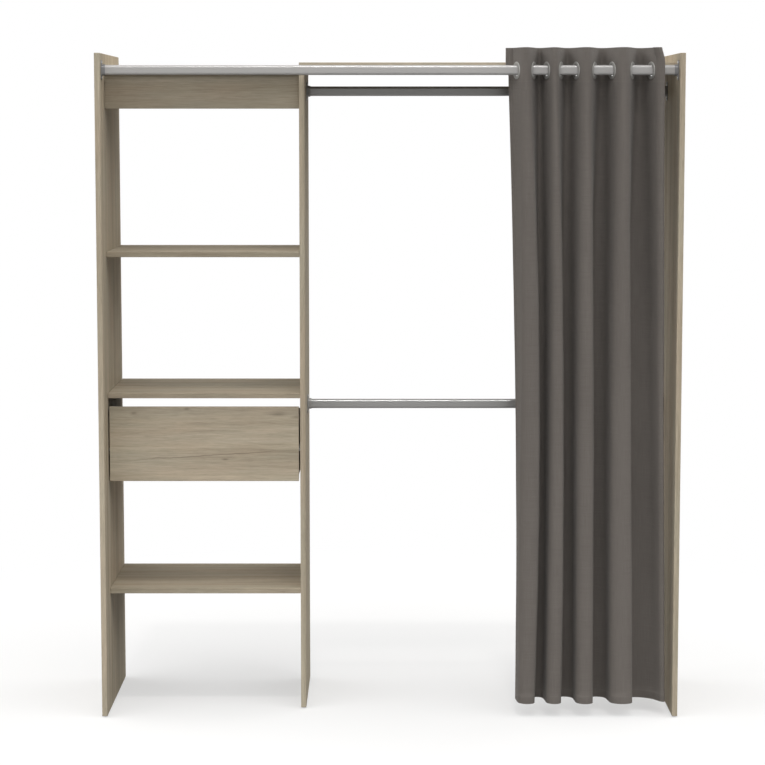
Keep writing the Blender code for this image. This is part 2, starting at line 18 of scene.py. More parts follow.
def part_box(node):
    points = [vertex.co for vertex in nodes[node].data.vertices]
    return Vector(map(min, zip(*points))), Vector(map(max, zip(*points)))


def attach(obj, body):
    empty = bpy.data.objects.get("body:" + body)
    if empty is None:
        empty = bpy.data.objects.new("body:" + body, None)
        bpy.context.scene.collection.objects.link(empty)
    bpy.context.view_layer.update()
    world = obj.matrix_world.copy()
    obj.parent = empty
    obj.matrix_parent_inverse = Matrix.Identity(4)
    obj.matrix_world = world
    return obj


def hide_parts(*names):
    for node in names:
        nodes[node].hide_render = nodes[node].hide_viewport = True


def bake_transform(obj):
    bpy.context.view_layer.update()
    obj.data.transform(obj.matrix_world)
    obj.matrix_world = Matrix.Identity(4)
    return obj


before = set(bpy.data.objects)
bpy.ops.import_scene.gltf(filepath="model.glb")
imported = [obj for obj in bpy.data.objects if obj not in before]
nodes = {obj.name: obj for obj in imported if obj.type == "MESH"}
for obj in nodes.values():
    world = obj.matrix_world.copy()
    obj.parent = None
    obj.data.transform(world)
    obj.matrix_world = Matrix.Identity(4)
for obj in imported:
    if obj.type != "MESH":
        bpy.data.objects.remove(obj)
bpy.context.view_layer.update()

# %% [markdown]
# ## Camera
#
# The photograph looks at the front from a little above, through a long lens. Its place was worked
# out from the edges of the boards, so the camera needs no shift. A long lens keeps the uprights
# almost parallel, as in a catalogue picture.

# %% Place the camera
LENS_LENGTH = 113.52  # millimetres, on a sensor 36 mm wide
CAMERA_PLACE = (-0.02401, -7.54538, 1.82849)
LOOKING_DOWN = 0.10819  # radians below the horizon
TURNED = -0.00024  # radians round the vertical
lens = bpy.data.cameras.new("photo_camera")
lens.lens = LENS_LENGTH
lens.sensor_width = 36.0
lens.clip_end = 60.0
photo_camera = bpy.data.objects.new("photo_camera", lens)
bpy.context.scene.collection.objects.link(photo_camera)
photo_camera.location = CAMERA_PLACE
photo_camera.rotation_euler = (math.pi / 2 - LOOKING_DOWN, 0.0, TURNED)
bpy.context.scene.camera = photo_camera
bpy.context.scene.view_settings.view_transform = "Standard"
print("camera", tuple(round(v, 3) for v in photo_camera.location))

# %% [markdown]
# ## A small kit for shader nodes
#
# Every finish below is built in the same way: a Principled shader is given its plain numbers, and
# a few texture nodes feed its colour, roughness and bump. Each of these helpers adds a node or two,
# so the recipes stay short enough to read.

# %% Helpers for shader nodes
def new_finish(name, roughness=0.5, metallic=0.0):
    """A new material, its node tree and its Principled shader."""
    finish = bpy.data.materials.new(name)
    finish.use_nodes = True
    shader = finish.node_tree.nodes["Principled BSDF"]
    shader.inputs["Roughness"].default_value = roughness
    shader.inputs["Metallic"].default_value = metallic
    return finish, finish.node_tree, shader


def add(tree, kind, inputs=None, **settings):
    """Add a node; inputs maps a socket's name or number to a value or to another node's output."""
    made = tree.nodes.new(kind)
    for key, value in settings.items():
        setattr(made, key, value)
    for key, value in (inputs or {}).items():
        if isinstance(value, bpy.types.NodeSocket):
            tree.links.new(value, made.inputs[key])
        else:
            made.inputs[key].default_value = value
    return made


def maths(tree, operation, first, second=0.0, third=0.0, clamp=False):
    """The output of a Math node."""
    made = add(tree, "ShaderNodeMath", {0: first, 1: second, 2: third},
               operation=operation, use_clamp=clamp)
    return made.outputs[0]


def stepped(tree, value, low, high):
    """The value mapped to 0 at low and 1 at high, and held at these past them."""
    made = add(tree, "ShaderNodeMapRange", {"Value": value, "From Min": low, "From Max": high})
    return made.outputs[0]


def dimmed(tree, shade, field, change, rest=1.0):
    """The shade times rest where the field is 0, and times rest + change where it is 1."""
    return maths(tree, "MULTIPLY", shade, maths(tree, "MULTIPLY_ADD", field, change, rest))


def ramp(tree, value, *stops):
    """The colour output of a Color Ramp with (place, colour) stops."""
    made = add(tree, "ShaderNodeValToRGB", {"Fac": value})
    elements = made.color_ramp.elements
    elements[0].position, elements[0].color = stops[0][0], (*stops[0][1], 1.0)
    elements[1].position, elements[1].color = stops[-1][0], (*stops[-1][1], 1.0)
    for place, colour in stops[1:-1]:
        elements.new(place).color = (*colour, 1.0)
    return made.outputs["Color"]


def stretched(tree, vector, scale):
    """The vector with its parts multiplied by three numbers."""
    made = add(tree, "ShaderNodeVectorMath", {0: vector, 1: scale}, operation="MULTIPLY")
    return made.outputs["Vector"]


def noise(tree, vector, scale=1.0, detail=2.0, roughness=0.5):
    """The grey output of a Noise Texture."""
    made = add(tree, "ShaderNodeTexNoise",
               {"Vector": vector, "Scale": scale, "Detail": detail, "Roughness": roughness})
    return made.outputs["Fac"]


def tint(tree, shader, colour, tone):
    """Feed the shader's colour with this colour times the tone."""
    made = add(tree, "ShaderNodeVectorMath", {0: colour, "Scale": tone}, operation="SCALE")
    tree.links.new(made.outputs["Vector"], shader.inputs["Base Color"])


def emboss(tree, shader, height, strength, depth, rounded=None):
    """Feed the shader's normal with a bump of this depth in metres, over an evened normal if given."""
    made = add(tree, "ShaderNodeBump", {"Height": height, "Strength": strength, "Distance": depth})
    if rounded:
        tree.links.new(rounded, made.inputs["Normal"])
    tree.links.new(made.outputs[0], shader.inputs["Normal"])


def seen_rays(tree):
    """1 for what the camera, a reflection or glass sees, and 0 for what lights other things."""
    path = add(tree, "ShaderNodeLightPath")
    seen = maths(tree, "ADD", path.outputs["Is Camera Ray"], path.outputs["Is Glossy Ray"])
    return maths(tree, "ADD", seen, path.outputs["Is Transmission Ray"], clamp=True)


print("shader kit ready")

# %% [markdown]
# ## Floor, background and light
#
# The photograph is a cut-out on white with a soft grey shadow under the wardrobe. A picture of a
# studio could light it, but a few maths nodes do the same and stay easy to change. Only what the
# camera and the reflections see is plain white. The light itself comes from a dome that is brightest
# half-way up, at the sides and in front, as if large soft boxes hung there. Open faces near the top
# catch it and the inside of the column stays dark. One steep, soft key lamp above the front adds the
# edge of shadow that shows on the shelves. A lower lamp shows in reflections alone. It draws the
# bright line along the tubes, at the height on their rounded shoulders where the photograph has it.

# %% Dome light with a white background
SIDE_LIGHT = 2.7
FRONT_LIGHT = 2.2
DAYLIGHT = (1.0, 0.995, 0.985, 1.0)
WHITE = (1.0, 1.0, 1.0, 1.0)
world = bpy.data.worlds.new("studio")
bpy.context.scene.world = world
world.use_nodes = True
sky = world.node_tree
sky.nodes.clear()
way = add(sky, "ShaderNodeSeparateXYZ", {0: add(sky, "ShaderNodeTexCoord").outputs["Generated"]})
# Twice the height times the reach to one side is largest, at 1, half-way up that side
raised = maths(sky, "MULTIPLY", maths(sky, "MAXIMUM", way.outputs["Z"], 0.0), 2.0)
sideways = maths(sky, "MULTIPLY", raised, maths(sky, "ABSOLUTE", way.outputs["X"]))
sideways = maths(sky, "POWER", sideways, 2.0)
forward = maths(sky, "MAXIMUM", maths(sky, "MULTIPLY", way.outputs["Y"], -1.0), 0.0)
forward = maths(sky, "POWER", maths(sky, "MULTIPLY", raised, forward), 2.0)
strength = maths(sky, "ADD", maths(sky, "MULTIPLY", sideways, SIDE_LIGHT),
                 maths(sky, "MULTIPLY", forward, FRONT_LIGHT))
dome = add(sky, "ShaderNodeBackground", {"Color": DAYLIGHT, "Strength": strength})
white = add(sky, "ShaderNodeBackground", {"Color": WHITE, "Strength": 1.0})
mixed = add(sky, "ShaderNodeMixShader", {0: seen_rays(sky), 1: dome.outputs[0], 2: white.outputs[0]})
add(sky, "ShaderNodeOutputWorld", {"Surface": mixed.outputs[0]})
print("dome", SIDE_LIGHT, "half-way up at the sides,", FRONT_LIGHT, "half-way up in front")

# %% Key lamp and glint lamp
def front_lamp(name, energy, spread, height, colour):
    """A distant lamp in front; its spread and its height over the horizon are in degrees."""
    lamp = bpy.data.lights.new(name, "SUN")
    lamp.energy = energy
    lamp.angle = math.radians(spread)
    lamp.color = colour
    made = bpy.data.objects.new(name, lamp)
    bpy.context.scene.collection.objects.link(made)
    made.rotation_euler = (math.radians(90 - height), 0.0, 0.0)
    print(name, "lamp", energy, "at", height, "degrees above the horizon")
    return made


key = front_lamp("key", 0.45, 3.5, 66, (1.0, 0.985, 0.96))
key.visible_glossy = False
glint = front_lamp("glint", 1.6, 3.0, 36, (1.0, 1.0, 1.0))
glint.visible_diffuse = False

# %% [markdown]
# A floor that is all shadow catcher would leave the wardrobe hanging in the air, so the floor is a
# real plane. To the camera it is pale and fades into white with the distance. To the light it is
# darker, so that it throws less of it back up under the shelves.

# %% Pale floor
FLOOR_SIZE = 14.0
FLOOR_LIT = (0.22, 0.22, 0.22, 1.0)
FLOOR_SEEN = (0.82, 0.82, 0.82, 1.0)
FADE_FROM, FADE_TO = 1.1, 2.7  # metres from the wardrobe's middle
FADE_LEAST = 0.5
bpy.ops.object.select_all(action="DESELECT")
bpy.ops.mesh.primitive_plane_add(size=FLOOR_SIZE, location=(0.0, 0.0, 0.0))
floor = bpy.context.object
floor.name = "floor"
floor_finish, tree, shader = new_finish("pale_floor", roughness=0.9)
shader.inputs["Specular IOR Level"].default_value = 0.0
seen = seen_rays(tree)
paint = add(tree, "ShaderNodeMix", {"Factor": seen, 6: FLOOR_LIT, 7: FLOOR_SEEN}, data_type="RGBA")
tree.links.new(paint.outputs[2], shader.inputs["Base Color"])
place = add(tree, "ShaderNodeTexCoord").outputs["Object"]
reach = add(tree, "ShaderNodeVectorMath", {0: place}, operation="LENGTH").outputs["Value"]
fade = add(tree, "ShaderNodeMapRange",
           {"Value": reach, "From Min": FADE_FROM, "From Max": FADE_TO, "To Min": FADE_LEAST},
           interpolation_type="SMOOTHSTEP").outputs["Result"]
fade = maths(tree, "MULTIPLY", fade, seen)
glow = add(tree, "ShaderNodeEmission", {"Color": WHITE, "Strength": 1.0})
whole = add(tree, "ShaderNodeMixShader", {0: fade, 1: shader.outputs[0], 2: glow.outputs[0]})
tree.links.new(whole.outputs[0], tree.nodes["Material Output"].inputs["Surface"])
floor.data.materials.append(floor_finish)
print("floor", tuple(floor.dimensions))

# %% [markdown]
# ## Oak laminate
#
# The boards are particle board with a pale, greyed oak decor. Its grain runs along each board: up
# the panels and across the shelves. The decor has soft broad bands, thin dark growth lines that
# fade in and out, fine fibres, short pores and a few small knots. A scanned decor would show its
# seams at some edge or repeat itself. Here all of it is worked out from the place in space, drawn
# out along the grain, so the figure runs on round every edge and no two boards look alike. A knot
# pushes the growth lines apart, which only needs the distance to its middle.

# %% Oak laminate: colours and features
OAK_LIGHT = (0.532, 0.471, 0.366)
OAK_MID = (0.459, 0.399, 0.303)
OAK_DARK = (0.334, 0.281, 0.205)
COOL_BLUSH = (0.985, 1.0, 1.0)
WARM_BLUSH = (1.035, 0.988, 0.972)
GRAIN_ORDER = {"X": ("X", "Y", "Z"), "Y": ("Y", "X", "Z"), "Z": ("Z", "Y", "X")}
# The noise behind each feature: its scale along and across the grain, its detail and roughness
OAK_FEATURES = {
    "sway": (1.3, 5.0, 1.5, 0.45),
    "faint stretches": (2.2, 24.0, 2.0, 0.5),
    "bands": (0.9, 30.0, 4.0, 0.62),
    "blush": (3.5, 17.0, 2.0, 0.5),
    "clouds": (2.0, 7.0, 2.0, 0.5),
    "streaks": (11.0, 190.0, 2.0, 0.6),
    "fibres": (24.0, 400.0, 2.0, 0.6),
    "pores": (34.0, 1300.0, 1.0, 0.5),
}
LINES_PER_METRE = 52.0
LINE_SWAY = 9.0
LINE_SHARPNESS = 9.0
KNOT_PUSH = 0.75
KNOT_CORE = 4.0
CRACK_WIDTH = 0.0015
CRACK_WANDER = 0.012


def oak_feature(tree, place, name):
    """One feature of the wood: noise drawn out along the grain."""
    along, across, detail, roughness = OAK_FEATURES[name]
    drawn_out = stretched(tree, place, (along, across, across))
    return noise(tree, drawn_out, detail=detail, roughness=roughness)


def bell(tree, value, middle, reach):
    """1 where the value is at the middle, fading to 0 a little past the reach on either side."""
    away = maths(tree, "DIVIDE", maths(tree, "SUBTRACT", value, middle), reach)
    square = maths(tree, "MULTIPLY", away, away)
    return maths(tree, "EXPONENT", maths(tree, "MULTIPLY", square, -1.0))


def knot_field(tree, along, across, knot):
    """How near a point is to a knot, from 0 to 1."""
    knot_along, knot_across, length, height = knot
    return maths(tree, "MULTIPLY", bell(tree, along, knot_along, length),
                 bell(tree, across, knot_across, height))


def hair_crack(tree, along, across, crack):
    """A thin dark line that wanders along the grain, from 0 to 1, and fades out to its ends."""
    middle, height, slope, reach = crack
    far = maths(tree, "SUBTRACT", along, middle)
    wander = add(tree, "ShaderNodeTexNoise", {"W": along, "Scale": 13.0, "Detail": 3.0},
                 noise_dimensions="1D").outputs["Fac"]
    wander = maths(tree, "MULTIPLY_ADD", wander, CRACK_WANDER, height - CRACK_WANDER / 2)
    line = maths(tree, "MULTIPLY_ADD", far, slope, wander)
    return maths(tree, "MULTIPLY", bell(tree, across, line, CRACK_WIDTH),
                 bell(tree, along, middle, reach))


print(len(OAK_FEATURES), "features of oak")

# %% Oak laminate: the recipe
def oak(name, grain, knots=(), crack=None, belts=(), across_axis=None, offset=0.0, tone=1.0):
    """Oak laminate with its grain along the X, Y or Z axis; another offset is another piece of wood.

    Each knot is (along, across, length, height) and the crack is (along, across, slope, reach).
    Each belt that darkens or lightens the decor across the grain is (across, reach, change).
    """
    finish, tree, shader = new_finish(name)
    shader.inputs["Specular IOR Level"].default_value = 0.12
    coords = add(tree, "ShaderNodeTexCoord")
    split = add(tree, "ShaderNodeSeparateXYZ", {0: coords.outputs["Object"]})
    along, side, depth = (split.outputs[axis] for axis in GRAIN_ORDER[grain])
    if across_axis:
        side, depth = split.outputs[across_axis], side
    depth = maths(tree, "ADD", depth, offset)
    across = maths(tree, "ADD", side, depth)
    place = add(tree, "ShaderNodeCombineXYZ", {0: along, 1: side, 2: depth}).outputs[0]

    # Knots push the growth lines apart and darken the wood
    dark_spots = 0.0
    for knot in knots:
        near = knot_field(tree, along, side, knot)
        push = maths(tree, "MULTIPLY", maths(tree, "SUBTRACT", side, knot[1]), near)
        across = maths(tree, "SUBTRACT", across, maths(tree, "MULTIPLY", push, KNOT_PUSH))
        dark_spots = maths(tree, "ADD", maths(tree, "POWER", near, KNOT_CORE), dark_spots)

    # Growth lines: a saw of the distance across the board, bent by slow noise, faint in stretches
    sway = maths(tree, "SUBTRACT", oak_feature(tree, place, "sway"), 0.5)
    saw = maths(tree, "ADD", maths(tree, "MULTIPLY", across, LINES_PER_METRE),
                maths(tree, "MULTIPLY", sway, LINE_SWAY))
    line = maths(tree, "POWER", maths(tree, "FRACT", saw), LINE_SHARPNESS)
    clear = stepped(tree, oak_feature(tree, place, "faint stretches"), 0.42, 0.68)
    line = maths(tree, "MULTIPLY", line, clear)

    # The colour of the bands, a little warmer in places, and all that lightens or darkens it
    wood = ramp(tree, oak_feature(tree, place, "bands"),
                (0.22, OAK_DARK), (0.47, OAK_MID), (0.72, OAK_LIGHT))
    blush = ramp(tree, oak_feature(tree, place, "blush"), (0.35, COOL_BLUSH), (0.72, WARM_BLUSH))
    wood = add(tree, "ShaderNodeVectorMath", {0: wood, 1: blush}, operation="MULTIPLY").outputs["Vector"]
    fibres = oak_feature(tree, place, "fibres")
    pores = stepped(tree, oak_feature(tree, place, "pores"), 0.60, 0.70)
    shade = maths(tree, "MULTIPLY_ADD", oak_feature(tree, place, "clouds"), 0.22 * tone, 0.89 * tone)
    shade = dimmed(tree, shade, oak_feature(tree, place, "streaks"), 0.36, rest=0.82)
    shade = dimmed(tree, shade, fibres, 0.40, rest=0.80)
    shade = dimmed(tree, shade, line, -0.20)
    shade = dimmed(tree, shade, pores, -0.16)
    if knots:
        shade = dimmed(tree, shade, dark_spots, -0.34)
    if crack:
        shade = dimmed(tree, shade, hair_crack(tree, along, side, crack), -0.40)
    # Belts darken or lighten the decor; the drawer front's dark belt along its top is painted shade.
    for middle, reach, change in belts:
        shade = dimmed(tree, shade, bell(tree, side, middle, reach), change)
    tint(tree, shader, wood, shade)

    gloss = maths(tree, "MULTIPLY_ADD", fibres, 0.16, 0.66)
    tree.links.new(gloss, shader.inputs["Roughness"])
    relief = maths(tree, "SUBTRACT", maths(tree, "MULTIPLY", fibres, 0.5), pores)
    emboss(tree, shader, relief, strength=0.25, depth=0.0002)
    return finish


print("oak recipe ready")

# %% [markdown]
# The boards are cut from several pieces of wood, so each cut has its own offset and tone. The
# fascia's darker tone is painted shade, for the shade the rail and the top shelf throw on it. The
# drawer front shows the most: two small knots at its upper edge, two longer ones at the right, one
# by the long crack, a dark belt along the top, which is painted shade from the shelf above, and two
# light ones lower down.

# %% Cuts of oak
DRAWER_KNOTS = ((-0.790, 0.931, 0.018, 0.008), (-0.626, 0.944, 0.016, 0.007),
                (-0.345, 0.927, 0.050, 0.010), (-0.285, 0.919, 0.040, 0.009),
                (-0.508, 0.787, 0.018, 0.006))
DRAWER_CRACK = (-0.570, 0.7985, 0.062, 0.24)
# The first belt, dark along the top edge, is painted shade from the shelf above; the other two are lighter
# bands lower down.
DRAWER_PAINTED_SHADE_AND_LIGHT_BELTS = ((0.944, 0.022, -0.22), (0.825, 0.014, 0.17), (0.733, 0.018, 0.12))
oak_upright = oak("oak_laminate_upright", "Z", offset=1.226, tone=1.03)
oak_level = oak("oak_laminate_level", "X", offset=3.678, tone=0.88)
oak_deep = oak("oak_laminate_drawer_side", "Y")
oak_drawer_front = oak("oak_laminate_drawer_front", "X", knots=DRAWER_KNOTS, crack=DRAWER_CRACK,
                       belts=DRAWER_PAINTED_SHADE_AND_LIGHT_BELTS, across_axis="Z", offset=0.77)
# The fascia's low tone is painted shade, for the shade the rail and the top shelf above throw on it.
oak_fascia_painted_shade = oak("oak_laminate_fascia_painted_shade", "X", offset=5.134, tone=0.78)
oak_top = oak("oak_laminate_tops", "X", offset=0.41, tone=1.08)
cap_oak = oak("cap_oak", "Z", offset=0.37)
print("seven cuts of oak laminate")

# %% Lay the oak on the boards
OAK_BOARDS = (
    (oak_upright, ("side_panel_left", "side_panel_right", "middle_panel")),
    (oak_level, ("shelf_upper", "shelf_middle", "shelf_lower", "drawer_back")),
    (oak_deep, ("drawer_side_left", "drawer_side_right")),
    (oak_drawer_front, ("drawer_front",)),
    (oak_fascia_painted_shade, ("column_fascia",)),
    (oak_top, ("column_top_shelf", "top_board")),
)


def refinish(names, finish):
    """Give CAD nodes this material in place of the one they came with."""
    for name in names:
        nodes[name].data.materials.clear()
        nodes[name].data.materials.append(finish)


for finish, boards in OAK_BOARDS:
    refinish(boards, finish)
print(sum(len(boards) for _, boards in OAK_BOARDS), "boards of oak")

# %% [markdown]
# ## Metal and plastic
#
# The tubes are drawn steel with a satin silver lacquer: a smooth face with a bright line where the
# top rounds over. Very fine drawing marks run along them. The imported tubes have flat facets there,
# which would break that line into steps. A Bevel node evens them out without a new mesh. The sockets
# are cast and a little darker, and the runners and glides are plain moulded plastic.
# The bars' lacquer is darker than the rail's, which is painted shade for the shade inside the wardrobe.

# %% Metal recipe
FINE_GLOSS = 0.08
WORN_GLOSS = 0.02


def metal(name, colour, roughness, marks, depth, metallic=1.0, level=0.5, rounding=0.0):
    """Metal with fine marks: marks is the stretch of the noise along X, Y and Z."""
    finish, tree, shader = new_finish(name, metallic=metallic)
    shader.inputs["Specular IOR Level"].default_value = level
    place = add(tree, "ShaderNodeTexCoord").outputs["Object"]
    fine = noise(tree, stretched(tree, place, marks), detail=3.0, roughness=0.6)
    worn = noise(tree, place, scale=14.0, detail=3.0)
    tint(tree, shader, colour, maths(tree, "MULTIPLY_ADD", fine, 0.10, 0.95))
    gloss = maths(tree, "ADD", maths(tree, "MULTIPLY", fine, FINE_GLOSS),
                  maths(tree, "MULTIPLY", worn, WORN_GLOSS))
    gloss = maths(tree, "ADD", gloss, roughness - (FINE_GLOSS + WORN_GLOSS) / 2)
    tree.links.new(gloss, shader.inputs["Roughness"])
    evened = None
    if rounding:
        evened = add(tree, "ShaderNodeBevel", {"Radius": rounding}, samples=6).outputs[0]
    emboss(tree, shader, fine, strength=0.2, depth=depth, rounded=evened)
    return finish


print("metal recipe ready")

# %% Finish the tubes and their sockets
DRAWN_MARKS = (6.0, 1500.0, 1500.0)
CAST_GRAIN = (700.0, 700.0, 700.0)
rail_steel = metal("silver_lacquered_rail", (0.48, 0.47, 0.46), 0.22, DRAWN_MARKS, 0.000005,
                   metallic=0.12, level=0.2, rounding=0.003)
# The bars have the rail's lacquer in a darker colour: painted shade, for the shade they hang in inside the
# wardrobe.
bar_steel_painted_shade = metal("silver_lacquered_bar_painted_shade", (0.362, 0.36, 0.354), 0.22, DRAWN_MARKS, 0.000005,
                  metallic=0.25, level=0.2, rounding=0.003)
socket_zinc = metal("cast_socket", (0.20, 0.20, 0.205), 0.42, CAST_GRAIN, 0.00008, metallic=0.4)
bar_zinc = metal("cast_bar_socket", (0.33, 0.326, 0.32), 0.42, CAST_GRAIN, 0.00008, metallic=0.12)
refinish(("curtain_rail",), rail_steel)
refinish(("clothes_bar_upper", "clothes_bar_lower"), bar_steel_painted_shade)
refinish(("curtain_rail_socket_left", "curtain_rail_socket_right"), socket_zinc)
for rail in ("clothes_bar_upper", "clothes_bar_lower"):
    refinish((f"{rail}_socket_left", f"{rail}_socket_right"), bar_zinc)
print("tubes and sockets finished")

# %% Plastic and hardboard
def plastic(name, colour, roughness):
    """Moulded plastic with a faint texture."""
    finish, tree, shader = new_finish(name, roughness=roughness)
    place = add(tree, "ShaderNodeTexCoord").outputs["Object"]
    skin = noise(tree, place, scale=1600.0, detail=2.0)
    patches = noise(tree, place, scale=60.0, detail=2.0)
    tint(tree, shader, colour, maths(tree, "MULTIPLY_ADD", patches, 0.12, 0.94))
    emboss(tree, shader, skin, strength=0.3, depth=0.00005)
    return finish


white_plastic = plastic("runner_plastic", (0.80, 0.80, 0.77), 0.42)
grey_plastic = plastic("glide_plastic", (0.13, 0.12, 0.14), 0.5)
refinish(("drawer_runner_left", "drawer_runner_right"), white_plastic)
refinish([name for name in nodes if name.startswith("glide_")], grey_plastic)

HARDBOARD_DARK = (0.34, 0.25, 0.17)
HARDBOARD_LIGHT = (0.50, 0.40, 0.29)
hardboard, tree, shader = new_finish("hardboard", roughness=0.62)
place = add(tree, "ShaderNodeTexCoord").outputs["Object"]
specks = noise(tree, place, scale=420.0, detail=4.0, roughness=0.7)
fibre_colour = ramp(tree, specks, (0.35, HARDBOARD_DARK), (0.65, HARDBOARD_LIGHT))
tree.links.new(fibre_colour, shader.inputs["Base Color"])
emboss(tree, shader, specks, strength=0.3, depth=0.0002)
refinish(("drawer_bottom",), hardboard)
print("plastic and hardboard finished")

# %% [markdown]
# ## Eyelets
#
# Each eyelet on the real curtain is a pair of pressed metal rings that snap together through the
# cloth. Its face rises from the bore to a rounded crown and falls to a thin lip, and the neck
# between the halves holds the cloth. A ring could be spun from a profile. Here it starts as a
# circle at the bore, and each extrusion of the whole edge is scaled outwards and lifted to the
# next line of the profile, which is how such a ring is pulled up by hand. One ring is modelled and
# copied to the ten places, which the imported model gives.

# %% Pull up one eyelet from a circle
EYELET_BORE = 0.0165
EYELET_FLANGE = 0.0265
EYELET_NECK = 0.0205
EYELET_CROWN = 0.0032
HALF_GROOVE = 0.0011
BORE_LOW, BORE_HIGH = 0.0006, 0.0018
BORE_FLARE = 0.0002
LIP = 0.0004
LIP_EDGE = 0.0003
CROWN_SPREAD = 0.97
CROWN_BLUNTNESS = 0.7
CROWN_TURNS = (165, 145, 125, 105, 85, 65, 45, 28, 14)
RING_SIDES = 56


def face_line():
    """Radius and height along one half's face, from the bore over the crown to the groove."""
    line = [(EYELET_BORE, BORE_LOW), (EYELET_BORE + BORE_FLARE, BORE_HIGH)]
    middle = (EYELET_BORE + EYELET_FLANGE) / 2
    half = (EYELET_FLANGE - EYELET_BORE) / 2
    rise = EYELET_CROWN - HALF_GROOVE - LIP
    for turn in CROWN_TURNS:
        swing = math.radians(turn)
        line.append((middle + CROWN_SPREAD * half * math.cos(swing),
                     HALF_GROOVE + LIP + rise * math.sin(swing) ** CROWN_BLUNTNESS))
    return line + [(EYELET_FLANGE, HALF_GROOVE + LIP_EDGE), (EYELET_FLANGE - LIP, HALF_GROOVE),
                   (EYELET_NECK, HALF_GROOVE)]


def smooth(piece, degrees):
    """Smooth the piece's shading where its faces meet at less than this angle."""
    bpy.ops.object.select_all(action="DESELECT")
    piece.select_set(True)
    bpy.context.view_layer.objects.active = piece
    bpy.ops.object.shade_smooth_by_angle(angle=math.radians(degrees))


def model_eyelet():
    """A whole eyelet round the Z axis, in the middle of the scene."""
    half = face_line()
    profile = half + [(radius, -height) for radius, height in reversed(half)]
    bpy.ops.object.select_all(action="DESELECT")
    bpy.ops.mesh.primitive_circle_add(vertices=RING_SIDES, radius=profile[0][0],
                                      location=(0, 0, profile[0][1]))
    ring = bpy.context.object
    bpy.ops.object.transform_apply(location=True, rotation=True, scale=True)
    bpy.ops.object.mode_set(mode="EDIT")
    for (radius, height), (wider, higher) in zip(profile, profile[1:]):
        bpy.ops.mesh.extrude_edges_move(TRANSFORM_OT_translate={"value": (0, 0, higher - height)})
        bpy.ops.transform.resize(value=(wider / radius, wider / radius, 1), center_override=(0, 0, 0))
    bpy.ops.mesh.select_all(action="DESELECT")
    bpy.ops.mesh.select_non_manifold()
    bpy.ops.mesh.bridge_edge_loops()
    bpy.ops.mesh.select_all(action="SELECT")
    bpy.ops.mesh.normals_make_consistent(inside=False)
    bpy.ops.object.mode_set(mode="OBJECT")
    smooth(ring, 50)
    return ring


eyelet_pattern = model_eyelet()
print("eyelet with", len(eyelet_pattern.data.polygons), "faces")

# %% Copy the eyelet to its ten places
EYELETS = 10
LEAN = 20  # degrees between an eyelet's axis and the rail, to either side in turn
LAST_LEAN = 10
eyelet_nickel = metal("eyelet_nickel", (0.42, 0.415, 0.395), 0.50, (900.0, 900.0, 900.0), 0.00002,
                      metallic=0.4)


def copy_to(pattern, name, matrix):
    """A copy of the pattern with its own mesh, its place and turn baked into that mesh."""
    mesh = pattern.data.copy()
    mesh.transform(matrix)
    made = bpy.data.objects.new(name, mesh)
    bpy.context.scene.collection.objects.link(made)
    return made


eyelet_pattern.data.transform(Matrix.Rotation(math.pi / 2, 4, "Y"))
leans = [math.radians(LEAN if index % 2 == 0 else -LEAN) for index in range(EYELETS)]
leans[-1] = math.radians(LAST_LEAN)
crossings = []
for index, lean in enumerate(leans):
    low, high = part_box(f"eyelet_{index + 1:02d}")
    middle = (Vector(low) + Vector(high)) / 2
    ring = copy_to(eyelet_pattern, f"eyelet_ring_{index + 1:02d}",
                   Matrix.Translation(middle) @ Matrix.Rotation(lean, 4, "Z"))
    ring.data.materials.append(eyelet_nickel)
    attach(ring, f"eyelet_{index + 1}")
    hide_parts(f"eyelet_{index + 1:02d}")
    crossings.append(middle.x)
bpy.data.objects.remove(eyelet_pattern, do_unlink=True)
eyelet_height = middle.z
print("eyelets at", [round(x, 4) for x in crossings])

# %% [markdown]
# ## The folded curtain
#
# The curtain is one heavy, plain woven cloth. Its eyelets turn it into deep S-folds, and the folds
# drift a little to the right as they hang. It isn't simulated here: a pleated curtain is a ruled
# shape, so three plans of its line from above, at the heading, half-way and at the hem, with a
# smooth passage between them, give cleaner folds than a simulation would. Slow noise then moves
# the cloth by a millimetre or so, as real weight and creases do.
#
# When the curtain is drawn, its folds open. For this the cloth is cut along the line that hangs
# from each eyelet, into nine strips, and neighbouring strips meet on the line under an eyelet.

# %% Plans of the folds
# For each crossing of the rail's line: its place along the rail, the cloth's angle to the rail in
# degrees, and half the length of its flat stretch. Past 90 degrees a fold overhangs.
HEADING_ANGLE, LAST_ANGLE, HEADING_FLAT = 70, 100, 0.0275
HEADING = [(x, HEADING_ANGLE, HEADING_FLAT) for x in crossings[:-1]]
HEADING.append((crossings[-1], LAST_ANGLE, HEADING_FLAT))
HALF_WAY = ((0.3950, 78, 0.023), (0.4505, 100, 0.023), (0.4825, 76, 0.023), (0.5232, 100, 0.023),
            (0.5670, 76, 0.023), (0.6140, 100, 0.023), (0.6690, 76, 0.023), (0.7285, 100, 0.023),
            (0.8070, 66, 0.018), (0.8315, 98, 0.018))
AT_THE_HEM = ((0.3928, 84, 0.022), (0.4420, 97, 0.022), (0.4805, 84, 0.022), (0.5241, 97, 0.022),
              (0.5730, 84, 0.022), (0.6222, 97, 0.022), (0.6770, 82, 0.022), (0.7453, 97, 0.022),
              (0.8270, 58, 0.013), (0.8470, 96, 0.011))
NARROW_BEND = 0.045
EDGE_BEND = 0.012
FLAT_STEPS, BEND_STEPS, EDGE_STEPS = 8, 16, 8


